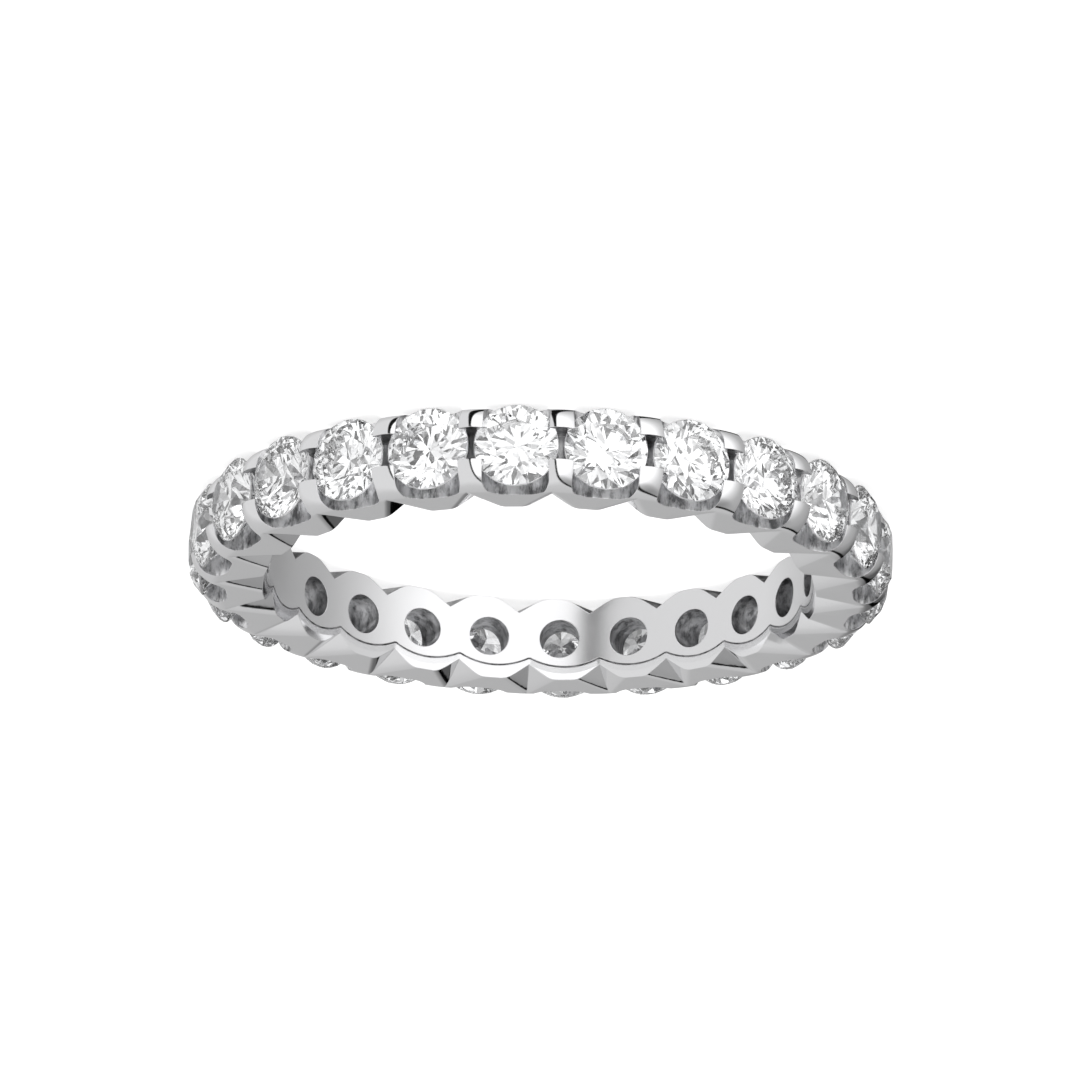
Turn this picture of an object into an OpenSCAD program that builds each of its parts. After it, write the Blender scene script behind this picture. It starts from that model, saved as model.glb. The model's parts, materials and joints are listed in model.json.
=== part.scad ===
// Full eternity ring. One cast band of white metal carries a row of equal round
// brilliants all the way round. Each stone sits over a channel cut across the band,
// held by four claw heads that it shares with its two neighbours.
// The ring lies on its side: the finger axis is +Z and the lower side face is at z = 0.

/* [Finger] */
// Inside diameter of the band
finger_d = 17; // [14:0.1:21]

/* [Stones] */
// Number of stones, which fill the whole round
stone_count = 24; // [18:1:30]
// Smallest gap between two neighbouring girdles
stone_gap = 0.158; // [0.08:0.002:0.3]
// Height of the culet above the finger
culet_lift = 0.86; // [0.5:0.02:1.2]
// Diameter of the table, corner to corner, as a share of the stone's diameter
table_share = 0.57; // [0.5:0.01:0.65]
// Height of the crown, from girdle to table, as a share of the stone's diameter
crown_share = 0.142; // [0.1:0.002:0.18]
// Thickness of the girdle as a share of the stone's diameter
girdle_share = 0.023; // [0.015:0.001:0.05]
// Depth of the pavilion, from girdle to culet, as a share of the stone's diameter
pavilion_share = 0.431; // [0.4:0.001:0.46]
// Share of the crown that the star facets take
star_share = 0.5; // [0.4:0.05:0.65]
// Share of the pavilion that the lower girdle facets take
lower_share = 0.77; // [0.65:0.01:0.85]

/* [Band] */
// Metal beside the girdle on each side face
side_margin = 0.03; // [0.02:0.01:0.3]
// Metal between the finger and the floor of a channel
floor_t = 1.25; // [0.9:0.01:1.4]
// How far the claw heads end below the tables
head_drop = 0.06; // [0.04:0.01:0.2]
// How far the side walls of a channel stand inside the girdle
claw_reach = 0.27; // [0.15:0.01:0.4]
// Radius of the inner corners of a channel, seen along the finger axis
channel_corner_r = 0.75; // [0.3:0.01:0.9]
// Radius of the corners of a channel, seen from outside the ring
channel_end_r = 0.3; // [0.1:0.02:0.6]
// Length of a claw head along the finger axis
head_l = 0.82; // [0.6:0.01:1]
// Radius of the round from a claw head to the side face
head_round_r = 0.9; // [0.5:0.02:1]
// Radius of the dome of a claw head across the band's run
dome_r = 0.9; // [0.6:0.02:1.5]
// Depth of the slot between two claw heads, below the girdle
slot_depth = 0.45; // [0.2:0.01:0.6]
// Diameter of the hole under each stone
bore_d = 1.25; // [0.8:0.01:1.5]
// The stone with plain wall under it in place of a hole, or 0 for none
unpierced_stone = 20; // [0:1:30]
// Gap between a stone and its seat
seat_gap = 0.03; // [0.02:0.005:0.05]

/* [Notches and edges] */
// Width of a notch in the side face, at the finger
notch_w = 1.46; // [0.8:0.02:1.7]
// Depth of a notch in the side face, at the finger
notch_depth = 0.5; // [0.2:0.02:0.6]
// Length of a notch outwards from the finger
notch_l = 1.36; // [0.8:0.02:1.6]
// Turn of the notches of each face away from the middle of their prongs, in degrees
notch_turn = 1.2; // [0:0.1:2]
// Distance from the upper side face to the step in the finger hole
step_at_side = 0.4; // [0.2:0.02:0.6]
// Height of the step in the finger hole
step_h = 0.09; // [0.05:0.01:0.15]
// How far the finger hole flares from the step to the upper side face
flare = 0.05; // [0.02:0.01:0.12]

/* [Hidden] */
$fn = 96;
ring_fn = 240;
overcut = 0.5;
finger_r = finger_d / 2;
step_angle = 360 / stone_count;
half_step = step_angle / 2;

// The largest stone that leaves the gap, since a larger one also sits further out
stone_r = ((finger_r + culet_lift) * tan(half_step) - stone_gap / 2 / cos(half_step))
    / (1 - 2 * pavilion_share * tan(half_step));
stone_d = 2 * stone_r;
table_r = table_share * stone_r;
crown_h = crown_share * stone_d;
girdle_t = girdle_share * stone_d;
pavilion_h = pavilion_share * stone_d;
band_w = stone_d + 2 * side_margin;

// Distances from the finger axis, along the axis of a stone
culet_at = finger_r + culet_lift;
girdle_low_at = culet_at + pavilion_h;
girdle_high_at = girdle_low_at + girdle_t;
table_at = girdle_high_at + crown_h;
floor_at = finger_r + floor_t;
head_at = table_at - head_drop;
slot_at = girdle_low_at - slot_depth;

// How far the turned blank reaches past the domes, which then shape the heads alone
dome_clear = 0.018;

// How far the corners of a channel, seen from outside, reach past the side faces
end_reach = 0.03;

// How far a channel's outline along the axis stands outside the walls that its plan gives
wall_clear = 0.02;

// The inner corners of a channel are no rounder than its half width allows
channel_half = stone_r - claw_reach;
corner_r = min(channel_corner_r, channel_half);
slot_w = band_w - 2 * head_l;
crown_slope = crown_h / (stone_r - table_r);
pavilion_slope = pavilion_h / stone_r;

function two_digits(i) = str(i < 10 ? "0" : "", i);
function stone_name(i) = str("stone_", two_digits(i));

// Turn of each stone about its own axis, as the setter happened to drop it in: a little
// further from one stone to the next, within one of its eight equal parts
turn_between_stones = 17;
eighth = 45;
function stone_turn(i) = (i * turn_between_stones) % eighth;

module at_each_stone() {
    for (i = [0 : stone_count - 1]) rotate([0, 0, i * step_angle]) children();
}

module at_each_prong() {
    rotate([0, 0, half_step]) at_each_stone() children();
}

// Turns a shape that stands on +Z so that it points outwards from the finger axis
module pointing_out() {
    rotate([0, 90, 0]) children();
}

// Section of the blank: a square bar whose two outer edges are rounded, with a step
// and a flare on the finger side next to the upper face
module blank_section() {
    outer_at = head_at + dome_clear;
    half = band_w / 2;
    round_at = outer_at - head_round_r;
    step_z = half - step_at_side;
    difference() {
        translate([finger_r, -half]) square([outer_at - finger_r, band_w]);
        for (side = [-1, 1]) translate([round_at, side * (half - head_round_r)]) difference() {
            translate([0, side > 0 ? 0 : -head_round_r - overcut])
                square([head_round_r + overcut, head_round_r + overcut]);
            circle(r = head_round_r);
        }
        polygon([
            [finger_r - overcut, step_z - overcut],
            [finger_r + step_h, step_z + step_h],
            [finger_r + step_h + flare, half],
            [finger_r + step_h + flare, half + overcut],
            [finger_r - overcut, half + overcut]
        ]);
    }
}

// Plan of the blank: a disc with one dome for each prong
module domed_plan() {
    circle(r = head_at - dome_r, $fn = ring_fn);
    at_each_prong() translate([head_at - dome_r, 0]) circle(r = dome_r);
}

// The seam of the turned blank lies in a prong, clear of the holes
module blank() {
    intersection() {
        rotate([0, 0, half_step]) rotate_extrude($fn = ring_fn) blank_section();
        linear_extrude(height = band_w + overcut, center = true) domed_plan();
    }
}

// Outline of a channel along the finger axis, open outwards, with round inner corners
module channel_outline() {
    half = channel_half + wall_clear;
    corner_at = floor_at + corner_r;
    flat_half = half - corner_r;
    reach = table_at + overcut;
    translate([floor_at, -flat_half]) square([reach - floor_at, 2 * flat_half]);
    translate([corner_at, -half]) square([reach - corner_at, 2 * half]);
    for (side = [-1, 1]) translate([corner_at, side * flat_half]) circle(r = corner_r);
}

// Plan of a channel as seen from outside the ring, with its four corners rounded
module channel_plan() {
    straight = band_w / 2 + end_reach - channel_end_r;
    flat_half = channel_half - channel_end_r;
    square([2 * (straight + channel_end_r), 2 * flat_half], center = true);
    square([2 * straight, 2 * channel_half], center = true);
    for (end = [-1, 1], side = [-1, 1]) translate([end * straight, side * flat_half])
        circle(r = channel_end_r);
}

module channel() {
    intersection() {
        linear_extrude(height = band_w + overcut, center = true) channel_outline();
        translate([finger_r, 0, 0]) pointing_out()
            linear_extrude(height = table_at + 2 * overcut - finger_r) channel_plan();
    }
}

module channels() {
    at_each_stone() channel();
}

// Groove round the band that parts the two claw heads of each prong
module head_slot() {
    rotate_extrude($fn = ring_fn) translate([slot_at, -slot_w / 2])
        square([table_at + overcut - slot_at, slot_w]);
}

module stone_holes() {
    for (i = [1 : stone_count]) if (i != unpierced_stone)
        rotate([0, 0, (i - 1) * step_angle]) translate([finger_r - overcut, 0, 0])
            pointing_out() cylinder(d = bore_d, h = floor_t + 2 * overcut);
}

// Room for one stone, larger than the stone by the seat gap all round
module seat() {
    wide = stone_r + seat_gap;
    below = seat_gap * (norm([1, pavilion_slope]) - pavilion_slope);
    above = seat_gap * (norm([1, crown_slope]) - crown_slope);
    low = girdle_low_at - below;
    high = girdle_high_at + above;
    rotate_extrude() polygon([
        [0, low - wide * pavilion_slope],
        [wide, low],
        [wide, high],
        [0, high + wide * crown_slope]
    ]);
}

module seats() {
    at_each_stone() pointing_out() seat();
}

// Notch in the upper side face between two stones, its valley rising outwards
module notch() {
    tilt = atan(notch_depth / notch_l);
    half = notch_w / 2;
    rise = overcut / notch_depth;
    translate([finger_r, 0, band_w / 2 - notch_depth]) rotate([0, -tilt, 0])
        translate([-overcut, 0, 0]) rotate([90, 0, 90])
            linear_extrude(height = notch_l + 2 * overcut) polygon([
                [0, 0],
                [half * (1 + rise), notch_depth + overcut],
                [-half * (1 + rise), notch_depth + overcut]
            ]);
}

module notches() {
    for (face = [0, 180]) rotate([face, 0, 0]) rotate([0, 0, notch_turn])
        at_each_prong() notch();
}

// The channels come first, and the slot and holes next, which keeps each cut simple
module channelled_blank() {
    difference() {
        blank();
        channels();
    }
}

module slotted_blank() {
    difference() {
        channelled_blank();
        head_slot();
        stone_holes();
    }
}

module band() {
    color("gainsboro") translate([0, 0, band_w / 2]) difference() {
        slotted_blank();
        seats();
        notches();
    }
}

// One round brilliant with its culet towards -Z: a table, 8 stars, 8 kites, 16 upper
// girdle facets, a girdle, 16 lower girdle facets and 8 pavilion mains
module brilliant() {
    fold = 8;
    steps = 4 * fold;
    main = 360 / fold;
    turn = 360 / steps;
    star_r = table_r * cos(main / 2)
        + star_share * (stone_r - table_r * cos(main / 2));
    star_z = crown_h - (star_r * cos(main / 2) - table_r) * crown_slope;
    lower_r = stone_r * (1 - lower_share);
    lower_z = lower_r * cos(main / 2) * pavilion_slope - pavilion_h;

    // A girdle facet's plane dips a little where the round girdle stands outside its chord
    chord_r = stone_r * cos(main / 4);
    dip = stone_r - chord_r;
    upper_dip = dip * star_z / (chord_r - star_r * cos(main / 4));
    lower_dip = dip * -lower_z / (chord_r - lower_r * cos(main / 4));

    function on_ring(r, angle, z) = [r * cos(angle), r * sin(angle), z];
    each_main = [for (k = [0 : fold - 1]) k];
    table = [for (k = each_main) on_ring(table_r, k * main, crown_h)];
    stars = [for (k = each_main) on_ring(star_r, (k + 0.5) * main, star_z)];
    girdle_high = [for (k = [0 : steps - 1])
        on_ring(stone_r, k * turn, k % 2 == 0 ? 0 : -upper_dip)];
    girdle_low = [for (k = [0 : steps - 1])
        on_ring(stone_r, k * turn, -girdle_t + (k % 2 == 0 ? 0 : lower_dip))];
    lowers = [for (k = each_main) on_ring(lower_r, (k + 0.5) * main, lower_z - girdle_t)];
    culet = [[0, 0, -girdle_t - pavilion_h]];

    first_star = fold;
    first_high = first_star + fold;
    first_low = first_high + steps;
    first_lower = first_low + steps;
    culet_point = first_lower + fold;
    function star(k) = first_star + (k + fold) % fold;
    function high(k) = first_high + k % steps;
    function low(k) = first_low + k % steps;
    function lower(k) = first_lower + (k + fold) % fold;

    polyhedron(
        points = concat(table, stars, girdle_high, girdle_low, lowers, culet),
        faces = concat(
            [[for (k = [fold - 1 : -1 : 0]) k]],
            [for (k = each_main) [k, (k + 1) % fold, star(k)]],
            [for (k = each_main) [star(k - 1), k, star(k), high(4 * k)]],
            [for (k = each_main) [star(k), high(4 * k + 2), high(4 * k + 1), high(4 * k)]],
            [for (k = each_main) [star(k), high(4 * k + 4), high(4 * k + 3), high(4 * k + 2)]],
            [for (k = [0 : steps - 1]) [high(k), high(k + 1), low(k + 1), low(k)]],
            [for (k = each_main) [low(4 * k), low(4 * k + 1), low(4 * k + 2), lower(k)]],
            [for (k = each_main) [low(4 * k + 2), low(4 * k + 3), low(4 * k + 4), lower(k)]],
            [for (k = each_main) [lower(k - 1), low(4 * k), lower(k), culet_point]]
        )
    );
}

module stone(i) {
    color("aliceblue") translate([0, 0, band_w / 2]) rotate([0, 0, (i - 1) * step_angle])
        translate([girdle_high_at, 0, 0]) pointing_out() rotate([0, 0, stone_turn(i)])
            brilliant();
}

band();
for (i = [1 : stone_count]) stone(i);
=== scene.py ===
import json
import math
import bmesh
import bpy
from mathutils import Matrix, Vector


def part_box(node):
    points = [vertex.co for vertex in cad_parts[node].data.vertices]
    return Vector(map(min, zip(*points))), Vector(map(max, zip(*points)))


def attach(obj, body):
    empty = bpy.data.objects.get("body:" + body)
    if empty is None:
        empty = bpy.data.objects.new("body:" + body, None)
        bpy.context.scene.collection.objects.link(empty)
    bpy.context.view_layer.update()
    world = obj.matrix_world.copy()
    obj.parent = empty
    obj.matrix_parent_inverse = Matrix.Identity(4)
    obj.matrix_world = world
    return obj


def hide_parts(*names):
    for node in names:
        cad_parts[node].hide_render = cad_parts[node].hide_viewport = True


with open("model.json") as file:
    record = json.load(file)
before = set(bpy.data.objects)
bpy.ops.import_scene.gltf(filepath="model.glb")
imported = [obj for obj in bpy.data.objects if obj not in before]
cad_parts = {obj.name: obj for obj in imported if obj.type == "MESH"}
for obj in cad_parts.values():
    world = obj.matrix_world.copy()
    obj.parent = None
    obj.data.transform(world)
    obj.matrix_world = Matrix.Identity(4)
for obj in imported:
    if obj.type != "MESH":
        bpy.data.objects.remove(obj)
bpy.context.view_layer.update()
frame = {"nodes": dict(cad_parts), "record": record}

# Band
# One casting of white gold, rhodium-plated and polished, with a channel, a hole and a seat cut
# for every stone, though one has no hole. A groove parts the claw heads, a V notch is filed into
# both side faces at every prong, and the finger hole ends in a scalloped crease and a flare.
MM = 0.001
scene = bpy.context.scene
finger_r = frame["record"]["mounts"][0]["dims"]["r_mm"] * MM
stone_low, stone_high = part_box("stone_01")
stones = sum(name.startswith("stone") for name in frame["nodes"])
step_angle = 2 * math.pi / stones
middle_z = (stone_low.z + stone_high.z) / 2
half_w = middle_z
stone_r = (stone_high.z - stone_low.z) / 2
table_at = stone_high.x
culet_at = stone_low.x
crown_h = 0.37 * MM
girdle_t = 0.06 * MM
girdle_high_at = table_at - crown_h
girdle_low_at = girdle_high_at - girdle_t
table_r = 0.74 * MM
seat_gap = 0.03 * MM
head_at = table_at - 0.06 * MM
head_dome_r = 0.85 * MM
head_round_r = 0.9 * MM
head_round_steps = 18
shoulder_at = 9.95 * MM
flat_side_at = shoulder_at - 0.4 * MM
inner_ease_r = 0.04 * MM
inner_ease_z = 0.5 * MM
inner_ease_steps = 6
channel_floor_at = finger_r + 1.25 * MM
channel_half = stone_r - 0.27 * MM
channel_corner_r = 0.75 * MM
channel_end_r = 0.3 * MM
channel_end_at = half_w + 0.03 * MM - channel_end_r
channel_steps = 10
wall_clear = 0.02 * MM
seat_tip_r = 0.05 * MM
seat_steps = 96
slot_half = half_w - 0.82 * MM
slot_at = girdle_low_at - 0.45 * MM
hole_r = 0.625 * MM
hole_steps = 64
unpierced_stone = 20
notch_half = 0.73 * MM
notch_depth = 0.5 * MM
notch_l = 1.36 * MM
notch_soft = {1: 0.14 * MM, -1: 0.18 * MM}
notch_turn = math.radians(1.2)
notch_steps = 10
notch_tip_share = 0.98
crease_at_stone = half_w - 0.4 * MM
crease_arc_r = 2.34 * MM
crease_w = 0.06 * MM
flare_slope = 0.25
ring_steps = stones * 32
# A cutter runs past the metal by over, and a hair keeps two faces from lying in one plane
over = 0.3 * MM
hair = 0.0005 * MM


def placed(name, data):
    """A new object in the scene."""
    thing = bpy.data.objects.new(name, data)
    scene.collection.objects.link(thing)
    return thing


def turned(x, y, z, angle):
    """The point turned about the finger axis, with z counted from the band's middle."""
    return (
        x * math.cos(angle) - y * math.sin(angle),
        x * math.sin(angle) + y * math.cos(angle),
        z + middle_z,
    )


def arc(centre, radius, start, end, steps):
    """Points of an arc in a plane, from one angle in degrees to another."""
    angles = [math.radians(start + (end - start) * i / steps) for i in range(steps + 1)]
    return [
        (centre[0] + radius * math.cos(a), centre[1] + radius * math.sin(a)) for a in angles
    ]


def skin(name, rings, ring_closed):
    """A closed mesh through rings of points: the rings close on each other, or have caps."""
    count = len(rings[0])
    points = [p for ring in rings for p in ring]
    spans = len(rings) if ring_closed else len(rings) - 1
    faces = []
    for i in range(spans):
        near, far = i * count, (i + 1) % len(rings) * count
        for k in range(count):
            after = (k + 1) % count
            faces.append((near + k, near + after, far + after, far + k))
    if not ring_closed:
        faces.append(tuple(range(count)))
        faces.append(tuple((len(rings) - 1) * count + k for k in reversed(range(count))))
    mesh = bpy.data.meshes.new(name)
    mesh.from_pydata(points, [], faces)
    work = bmesh.new()
    work.from_mesh(mesh)
    bmesh.ops.remove_doubles(work, verts=work.verts, dist=hair / 10)
    bmesh.ops.recalc_face_normals(work, faces=work.faces)
    work.to_mesh(mesh)
    work.free()
    return placed(name, mesh)


def ring_round(name, section_at):
    """A closed ring about the finger axis. section_at gives its (r, z) outline at an angle."""
    rings = []
    for i in range(ring_steps):
        angle = 2 * math.pi * i / ring_steps
        rings.append([turned(r, 0, z, angle) for r, z in section_at(angle)])
    return skin(name, rings, True)


def lathe(name, outline, steps):
    """A turned shape about the axis of the first stone, through (distance out, radius)."""
    rings = []
    for out, radius in outline:
        rings.append([
            turned(out, radius * math.cos(2 * math.pi * k / steps),
                   radius * math.sin(2 * math.pi * k / steps), 0)
            for k in range(steps)
        ])
    return skin(name, rings, False)


def from_prong(angle):
    """The angle from the middle of the nearest prong."""
    return (angle % step_angle) - step_angle / 2


def from_stone(angle):
    """The angle from the axis of the nearest stone."""
    return (angle + step_angle / 2) % step_angle - step_angle / 2


def blank_section(angle):
    """The blank's outline: plain inside and on its sides, its lower inner edge eased, and its
    outer side rounded towards the sides and domed over every prong."""
    round_z = half_w - head_round_r
    round_at = head_at - head_round_r
    eased = [k / inner_ease_steps for k in range(inner_ease_steps, -1, -1)]
    outline = [
        (finger_r + inner_ease_r * (1 - share) ** 2, inner_ease_z * share - half_w)
        for share in eased
    ]
    outline += [(flat_side_at, -half_w)]
    outline += arc((round_at, -round_z), head_round_r, -90, 0, head_round_steps)
    outline += [(head_at, -round_z / 2), (head_at, 0), (head_at, round_z / 2)]
    outline += arc((round_at, round_z), head_round_r, 0, 90, head_round_steps)
    outline += [(flat_side_at, half_w), (finger_r, half_w)]
    domed = []
    for r, z in outline:
        sideways = r * math.sin(from_prong(angle))
        share = max(0, (r - shoulder_at) / (head_at - shoulder_at))
        domed.append((r - share * sideways ** 2 / (2 * head_dome_r), z))
    return domed


def crease_z(angle):
    """Height of the scalloped crease that ends the lining, above the band's middle."""
    sideways = finger_r * math.sin(from_stone(angle - notch_turn))
    drop = crease_arc_r - math.sqrt(crease_arc_r ** 2 - sideways ** 2)
    return crease_at_stone - drop


def flare_section(angle):
    """The flare between the crease and the upper side face."""
    crease = crease_z(angle)
    edge = finger_r + (half_w - crease) * flare_slope
    return [
        (finger_r - over, crease),
        (finger_r, crease),
        (edge, half_w),
        (edge, half_w + over),
        (finger_r - over, half_w + over),
    ]


def crease_section(angle):
    """The line that the graver cut along the crease."""
    crease = crease_z(angle)
    wide = over + crease_w
    return [
        (finger_r - over, crease - wide / 2),
        (finger_r + crease_w, crease),
        (finger_r - over, crease + wide / 2),
    ]


def slot_section(angle):
    """The groove that parts the two claw heads of every prong."""
    return [
        (slot_at, -slot_half),
        (head_at + over, -slot_half),
        (head_at + over, slot_half),
        (slot_at, slot_half),
    ]


def channel():
    """The channel across the band under the first stone, round in its inner corners, and in
    its corners as seen from outside."""
    corner_at = channel_floor_at + channel_corner_r
    flat = channel_half + wall_clear - channel_corner_r
    turns = [math.radians(90 * i / channel_steps) for i in range(channel_steps + 1)]
    stations = [
        (channel_end_at + channel_end_r * math.sin(a),
         channel_half - channel_end_r * (1 - math.cos(a)))
        for a in turns
    ]
    stations = [(-z, wide) for z, wide in reversed(stations)] + stations
    rings = []
    for z, wide in stations:
        floor = []
        for a in turns:
            y = min(wide, flat + channel_corner_r * math.sin(a))
            rise = math.sqrt(channel_corner_r ** 2 - max(0, y - flat) ** 2)
            floor.append((corner_at - rise, y))
        outline = [(x, -y) for x, y in reversed(floor)] + floor
        outline += [(head_at + over, wide), (head_at + over, -wide)]
        rings.append([turned(x, y, z, 0) for x, y in outline])
    return skin("channel", rings, False)


def seat():
    """Room for the first stone, larger than it by the seat gap."""
    crown_slope = crown_h / (stone_r - table_r)
    pavilion_slope = (girdle_low_at - culet_at) / stone_r
    wide = stone_r + seat_gap
    low = girdle_low_at - seat_gap * (math.hypot(1, pavilion_slope) - pavilion_slope)
    high = girdle_high_at + seat_gap * (math.hypot(1, crown_slope) - crown_slope)
    return lathe("seat", [
        (low - (wide - seat_tip_r) * pavilion_slope, seat_tip_r),
        (low, wide),
        (high, wide),
        (high + (wide - seat_tip_r) * crown_slope, seat_tip_r),
    ], seat_steps)


def hole():
    """The round hole from the finger hole into the first channel."""
    return lathe(
        "hole", [(finger_r - over, hole_r), (channel_floor_at + over, hole_r)], hole_steps)


def notch(name, side):
    """The V notch beside the first prong, its valley rising outwards and its shoulders soft.
    side is 1 for the upper side face and -1 for the lower one."""
    slope = notch_depth / notch_half
    soft = notch_soft[side]
    end = notch_l * (notch_depth + soft) / notch_depth * notch_tip_share
    stations = [-over] + [end * i / notch_steps for i in range(notch_steps + 1)]
    shares = [0, 0.05, 0.1, 0.15, 0.2, 0.26, 0.34, 0.5, 0.75, 1]
    turn = step_angle / 2 + side * notch_turn
    rings = []
    for along in stations:
        valley = notch_depth * (1 - along / notch_l)
        flank = []
        for share in shares:
            depth = (valley + soft) * share - soft
            sideways = (valley - depth) / slope
            if depth < soft:
                depth = (depth + soft) ** 2 / (4 * soft)
            flank.append((sideways, half_w - depth + hair))
        outline = [(flank[0][0], half_w + over)] + flank
        outline += [(-y, z) for y, z in reversed(outline[:-1])]
        rings.append([turned(finger_r + along, y, side * z, turn) for y, z in outline])
    return skin(name, rings, False)


class Sum:
    """An output socket in a sum: operators on it add Math nodes to its tree."""

    def __init__(self, maker, socket):
        self.maker = maker
        self.socket = socket

    def out(self, name):
        return Sum(self.maker, self.socket.node.outputs[name])

    def maths(self, operation, *others, swapped=False):
        values = [self, *others]
        if swapped:
            values.reverse()
        return self.maker.node("ShaderNodeMath", {"operation": operation}, dict(enumerate(values)))

    def __add__(self, other):
        return self.maths("ADD", other)

    def __radd__(self, other):
        return self.maths("ADD", other, swapped=True)

    def __sub__(self, other):
        return self.maths("SUBTRACT", other)

    def __rsub__(self, other):
        return self.maths("SUBTRACT", other, swapped=True)

    def __mul__(self, other):
        return self.maths("MULTIPLY", other)

    def __rmul__(self, other):
        return self.maths("MULTIPLY", other, swapped=True)

    def __truediv__(self, other):
        return self.maths("DIVIDE", other)

    def __rtruediv__(self, other):
        return self.maths("DIVIDE", other, swapped=True)

    def __gt__(self, other):
        return self.maths("GREATER_THAN", other)

    def __lt__(self, other):
        return self.maths("LESS_THAN", other)


class Maker:
    """Makes and joins the nodes of one tree."""

    def __init__(self, tree):
        self.tree = tree

    def fill(self, made, sockets):
        """Sets sockets of a node to values, or links them to other nodes' outputs."""
        for name, value in sockets.items():
            if isinstance(value, Sum):
                self.tree.links.new(value.socket, made.inputs[name])
            else:
                made.inputs[name].default_value = value

    def node(self, kind, settings=None, sockets=None, out=0):
        """A node of a type, with its settings and its sockets' values. Gives its first output,
        or the one that out names."""
        made = self.tree.nodes.new(kind)
        for name, value in (settings or {}).items():
            if name == "stops":
                ramp = made.color_ramp
                while len(ramp.elements) < len(value):
                    ramp.elements.new(1)
                for element, (place, colour) in zip(ramp.elements, value):
                    element.position = place
                    element.color = colour
            else:
                setattr(made, name, value)
        self.fill(made, sockets or {})
        return Sum(self, made.outputs[out]) if made.outputs else None


# The cuts: each shape is made once, and the tree repeats those that every stone or prong has
cutters = {
    "Channel": channel(),
    "Hole": hole(),
    "Seat": seat(),
    "Upper notch": notch("upper_notch", 1),
    "Lower notch": notch("lower_notch", -1),
}
rings_cut = {
    "Slot": ring_round("slot", slot_section),
    "Flare": ring_round("flare", flare_section),
    "Crease": ring_round("crease", crease_section),
}

# How rough the bur left a cut, up to 1, and above 1 also how much painted shade darkens it, for
# the shade in the slots, holes, crease and lower notches
unpolished_and_shaded_cuts = {"Slot": 2.0, "Channel": 1.0, "Hole": 1.5, "Crease": 1.8, "Lower notch": 2.0}

cuts = bpy.data.node_groups.new("band_cuts", "GeometryNodeTree")
cuts.interface.new_socket("Geometry", in_out="OUTPUT", socket_type="NodeSocketGeometry")
for name, kind in {
    "Blank": "Geometry", "Stones": "Int", "Unpierced stone": "Int", "Sharp from": "Float",
    "Metal": "Material", **dict.fromkeys([*cutters, *rings_cut], "Object"),
}.items():
    cuts.interface.new_socket(name, in_out="INPUT", socket_type="NodeSocket" + kind)
maker = Maker(cuts)
given = maker.node("NodeGroupInput")
places = maker.node("GeometryNodePoints", None, {"Count": given.out("Stones")})
index = maker.node("GeometryNodeInputIndex")
pierced = 1 - index.maths("COMPARE", given.out("Unpierced stone") - 1, 0.5)
about_finger = maker.node("ShaderNodeCombineXYZ", None, {
    "Z": index * (2 * math.pi) / given.out("Stones"),
})
metal = given.out("Blank")
for name in [*rings_cut, *cutters]:
    cutter = maker.node("GeometryNodeObjectInfo", None, {"Object": given.out(name)}, "Geometry")
    if name in cutters:
        cutter = maker.node("GeometryNodeInstanceOnPoints", None, {
            "Points": places, "Instance": cutter, "Rotation": about_finger,
            "Selection": pierced if name == "Hole" else True,
        })
        cutter = maker.node("GeometryNodeRealizeInstances", None, {"Geometry": cutter})
    if name in unpolished_and_shaded_cuts:
        cutter = maker.node("GeometryNodeStoreNamedAttribute", {"domain": "FACE"}, {
            "Geometry": cutter, "Name": "bur_cut", "Value": unpolished_and_shaded_cuts[name],
        })
    metal = maker.node("GeometryNodeMeshBoolean", {
        "operation": "DIFFERENCE", "solver": "MANIFOLD",
    }, {0: metal, 1: cutter})
bend = maker.node("GeometryNodeInputMeshEdgeAngle")
metal = maker.node("GeometryNodeSetShadeSmooth", {"domain": "FACE"}, {"Geometry": metal})
metal = maker.node("GeometryNodeSetShadeSmooth", {"domain": "EDGE"}, {
    "Geometry": metal, "Selection": bend > given.out("Sharp from"), "Shade Smooth": False,
})
metal = maker.node("GeometryNodeRealizeInstances", None, {"Geometry": metal})
metal = maker.node("GeometryNodeSetMaterial", None, {
    "Geometry": metal, "Material": given.out("Metal"),
})
maker.node("NodeGroupOutput", None, {"Geometry": metal})

white_gold = bpy.data.materials.new("polished_white_gold")
white_gold.use_nodes = True
shade = Maker(white_gold.node_tree)
where = shade.node("ShaderNodeTexCoord", None, None, "Object")
bur_cut = shade.node("ShaderNodeAttribute", {"attribute_name": "bur_cut"}, None, "Fac")
cut = bur_cut.maths("MINIMUM", 1.0)
# Painted shade: the share above 1 is how far a cut's colour is darkened for the shade in it
shade_painted_in = (bur_cut - 1).maths("MAXIMUM", 0.0)
level = shade.node("ShaderNodeVectorMath", {"operation": "MULTIPLY"}, {0: where, 1: (1, 1, 0)})
from_axis = shade.node("ShaderNodeVectorMath", {"operation": "LENGTH"}, {0: level}, "Value")
lining_depth = 0.05 * MM
lining = from_axis < finger_r + lining_depth
haze = shade.node("ShaderNodeTexNoise", None, {
    "Vector": where, "Scale": 900.0, "Detail": 4.0, "Roughness": 0.6,
})
along_cut = shade.node("ShaderNodeMapping", None, {"Vector": where, "Scale": (1, 1, 0.45)})
chatter = shade.node("ShaderNodeTexNoise", None, {
    "Vector": along_cut, "Scale": 3200.0, "Detail": 5.0, "Roughness": 0.7,
})
polished = (0.86, 0.86, 0.87, 1)
# The dark grey of the painted shade in the shut-in cuts
in_shade = (0.1, 0.1, 0.105, 1)
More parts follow.
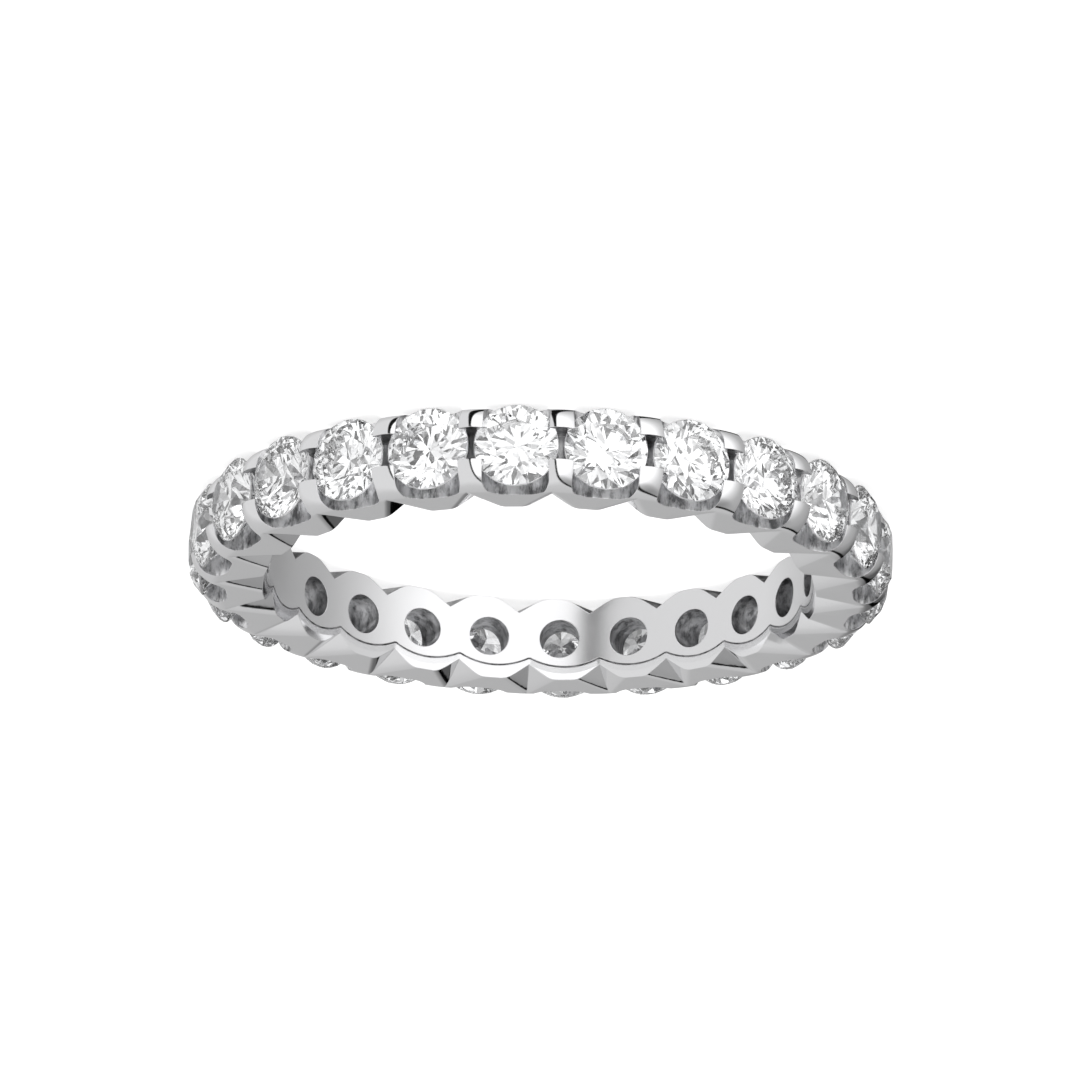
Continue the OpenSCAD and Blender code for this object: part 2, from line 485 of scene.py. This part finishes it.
# The cut faces' colour: mottled by the bur's chatter, and also darker overall than the polished
# metal as painted shade in the channels, holes, slots and notches
milled_tone_and_shade = shade.node("ShaderNodeValToRGB", {"stops": [
    (0.38, (0.22, 0.22, 0.225, 1)),
    (0.48, (0.64, 0.64, 0.65, 1)),
    (0.58, (0.96, 0.96, 0.97, 1)),
]}, {"Fac": chatter})
tone = shade.node("ShaderNodeMix", {"data_type": "RGBA"}, {
    "Factor": cut, 6: polished, 7: milled_tone_and_shade,
}, 2)
# Painted shade: the shut-in cuts' colour is mixed towards a dark grey
tone = shade.node("ShaderNodeMix", {"data_type": "RGBA"}, {
    "Factor": shade_painted_in * 0.6, 6: tone, 7: in_shade,
}, 2)
edge_r = 0.04 * MM
scratch_depth = 0.02 * MM
soft_edges = shade.node("ShaderNodeBevel", {"samples": 4}, {"Radius": edge_r})
uneven = shade.node("ShaderNodeBump", None, {
    "Strength": 0.4, "Distance": scratch_depth, "Height": chatter * cut, "Normal": soft_edges,
})
shade.fill(white_gold.node_tree.nodes["Principled BSDF"], {
    "Metallic": 1.0,
    "Base Color": tone,
    "Roughness": 0.04 + haze * 0.05 + cut * 0.22 + lining * 0.16,
    "Normal": uneven,
})

blank = ring_round("blank", blank_section)
working = blank.modifiers.new("cuts", "NODES")
working.node_group = cuts
sizes = {
    "Stones": stones, "Unpierced stone": unpierced_stone,
    "Sharp from": math.radians(24), "Metal": white_gold,
    **cutters, **rings_cut,
}
for socket in cuts.interface.items_tree:
    if socket.in_out == "INPUT" and socket.name in sizes:
        working[socket.identifier] = sizes[socket.name]
weights = blank.modifiers.new("even_normals", "WEIGHTED_NORMAL")
weights.keep_sharp = True
weights.weight = 100
cut_out = bpy.context.evaluated_depsgraph_get()
finished = bpy.data.meshes.new_from_object(
    blank.evaluated_get(cut_out), preserve_all_data_layers=True, depsgraph=cut_out)
finished.name = "band_metal"
band = placed("band_metal", finished)
for used in [blank, *cutters.values(), *rings_cut.values()]:
    bpy.data.objects.remove(used)
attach(band, "root")
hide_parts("band")

# Stones
# Round brilliants of diamond, cut and polished, each with its own small turn. Each lies in its
# seat over a channel, under the four claw heads that it shares with its neighbours.
diamond = bpy.data.materials.new("diamond")
diamond.use_nodes = True
facets = Maker(diamond.node_tree)
spot = facets.node("ShaderNodeTexCoord", None, None, "Object")
parts = facets.node("ShaderNodeSeparateXYZ", None, {"Vector": spot})
east, north = parts.out("X"), parts.out("Y")
out_from_axis = (east * east + north * north).maths("POWER", 0.5)
off_stone = north.maths("ARCTAN2", east).maths("WRAP", step_angle / 2, -step_angle / 2)
along = out_from_axis * off_stone.maths("COSINE")
girdle_margin = 0.01 * MM
girdle = (along > girdle_low_at - girdle_margin) * (along < girdle_high_at + girdle_margin)
cloud = facets.node("ShaderNodeTexNoise", None, {
    "Vector": spot, "Scale": 1500.0, "Detail": 2.0, "Roughness": 0.5,
})
clarity = facets.node("ShaderNodeMix", {"data_type": "RGBA"}, {
    "Factor": cloud, 6: (1.0, 1.0, 1.0, 1), 7: (0.97, 0.98, 1.0, 1),
}, 2)
facets.fill(diamond.node_tree.nodes["Principled BSDF"], {
    "Transmission Weight": 1,
    "IOR": 2.42,
    "Base Color": clarity,
    "Roughness": girdle * 0.35,
})
for name, stone in frame["nodes"].items():
    if name.startswith("stone"):
        stone.data.materials.clear()
        stone.data.materials.append(diamond)

# Camera
# A long lens from afar, at the photograph's angle to the ring, slid sideways by small shares of
# the finger hole's radius. As in the photograph, the near stones are at the top of the picture,
# so the camera is turned over.
elevation = 0.320179
roll = 0.027325
turn_to_stone = -0.079097
slide_x = 0.001781
slide_y = 0.051319
radius_by_distance = 0.016783
far = finger_r / radius_by_distance
photo_px = 1080
radius_px = 273.76915
view = Vector((0, math.cos(elevation), -math.sin(elevation)))
down = Vector((0, math.sin(elevation), math.cos(elevation)))
right = Vector((-1, 0, 0))
across = math.cos(roll) * right - math.sin(roll) * down
below = math.sin(roll) * right + math.cos(roll) * down
place = -view * far - across * slide_x * finger_r - below * slide_y * finger_r
about_axis = Matrix.Rotation(turn_to_stone - math.pi / 2, 3, "Z")
lens_data = bpy.data.cameras.new("camera")
camera = placed("camera", lens_data)
aim = Matrix((about_axis @ across, about_axis @ -below, about_axis @ -view)).transposed().to_4x4()
aim.translation = about_axis @ place + Vector((0, 0, middle_z))
camera.matrix_world = aim
lens_data.sensor_width = 36
lens_data.lens = radius_px * far / finger_r / photo_px * lens_data.sensor_width
lens_data.clip_start = far / 10
lens_data.clip_end = far * 20
scene.camera = camera

# Floor and light
# A plain pale floor that the ring lies on, a soft light overhead, and a tent all round with a
# grey card on both sides of a thin dark gap. The tent's small folds show only inside the stones,
# and neither the metal nor the stones mirror the floor.
floor_half = 2.0
floor_mesh = bpy.data.meshes.new("floor")
floor_mesh.from_pydata(
    [(-floor_half, -floor_half, 0), (floor_half, -floor_half, 0),
     (floor_half, floor_half, 0), (-floor_half, floor_half, 0)], [], [(0, 1, 2, 3)])
floor = placed("floor", floor_mesh)
paper = bpy.data.materials.new("pale_floor")
paper.use_nodes = True
Maker(paper.node_tree).fill(paper.node_tree.nodes["Principled BSDF"], {
    "Base Color": (0.6, 0.6, 0.6, 1),
    "Roughness": 0.9,
    "Emission Color": (1, 1, 1, 1),
    "Emission Strength": 0.75,
})
floor_mesh.materials.append(paper)

overhead_data = bpy.data.lights.new("overhead", "AREA")
overhead_data.size = 0.3
overhead_data.energy = 0.2
overhead = placed("overhead", overhead_data)
overhead.location = (0, 0, 0.3)
overhead.visible_camera = False
for unmirrored in [floor, overhead]:
    unmirrored.visible_glossy = False
    unmirrored.visible_transmission = False

world = bpy.data.worlds.new("studio")
scene.world = world
world.use_nodes = True
tent = Maker(world.node_tree)
heading = tent.node("ShaderNodeTexCoord", None, None, "Generated")


def towards(direction):
    """How far a look into the tent goes in a direction: 1 straight there, -1 straight away."""
    return tent.node("ShaderNodeVectorMath", {"operation": "DOT_PRODUCT"}, {
        0: heading, 1: direction,
    }, "Value")


def greys(look, stops):
    """A card that goes through tones of grey as a look turns from one end of it to the other."""
    return tent.node("ShaderNodeValToRGB", {
        "stops": [(place, (grey, grey, grey, 1)) for place, grey in stops],
    }, {"Fac": look * 0.5 + 0.5})


def soft_step(look, start, end, low, high):
    """A soft step from one strength to another between two places."""
    return tent.node("ShaderNodeMapRange", {"interpolation_type": "SMOOTHSTEP"}, {
        "Value": look, "From Min": start, "From Max": end, "To Min": low, "To Max": high,
    })


side = towards(about_axis @ right)
away = towards(about_axis @ Vector((0, 1, 0)))
up = towards((0, 0, 1))
far_corner = towards(about_axis @ Vector((-0.337, 0.925, 0.174)))
lean_away = 0.314
lean_up = 0.175
split = side - lean_away * away - lean_up * up
left_card = greys(
    far_corner, [(0.5, 0.8), (0.7, 0.64), (0.93, 0.58), (0.97, 0.48), (0.993, 0.14)])
right_card = greys(
    far_corner,
    [(0.3, 1.25), (0.5, 0.8), (0.7, 0.5), (0.87, 0.42), (0.955, 0.3), (0.99, 0.1)])
turn_over = tent.node("ShaderNodeMapRange", None, {
    "Value": split, "From Min": -0.06, "From Max": 0.03,
})
glow = tent.node("ShaderNodeMix", {"data_type": "RGBA"}, {
    "Factor": turn_over, 6: left_card, 7: right_card,
}, 2)
gap_at = 0.03
gap_narrows = 0.025
from_gap = (split + gap_at).maths("ABSOLUTE") + gap_narrows * up
gap = soft_step(from_gap, 0.055, 0.085, 0.01, 1.0)
flag = soft_step(up, 0.75, 0.95, 0.0, 0.4)
through = tent.node("ShaderNodeLightPath", None, None, "Is Transmission Ray")
patches = tent.node("ShaderNodeTexNoise", None, {
    "Vector": heading, "Scale": 8.0, "Detail": 2.0, "Roughness": 0.6,
})
folds = soft_step(patches, 0.36, 0.5, 0.08, 1.25)
strength = gap * (1 - flag * turn_over) * (1 - through * (1 - folds))
tent.fill(world.node_tree.nodes["Background"], {"Color": glow, "Strength": strength})
scene.view_settings.view_transform = "Standard"
scene.cycles.max_bounces = 24
scene.cycles.glossy_bounces = 16
scene.cycles.transmission_bounces = 16
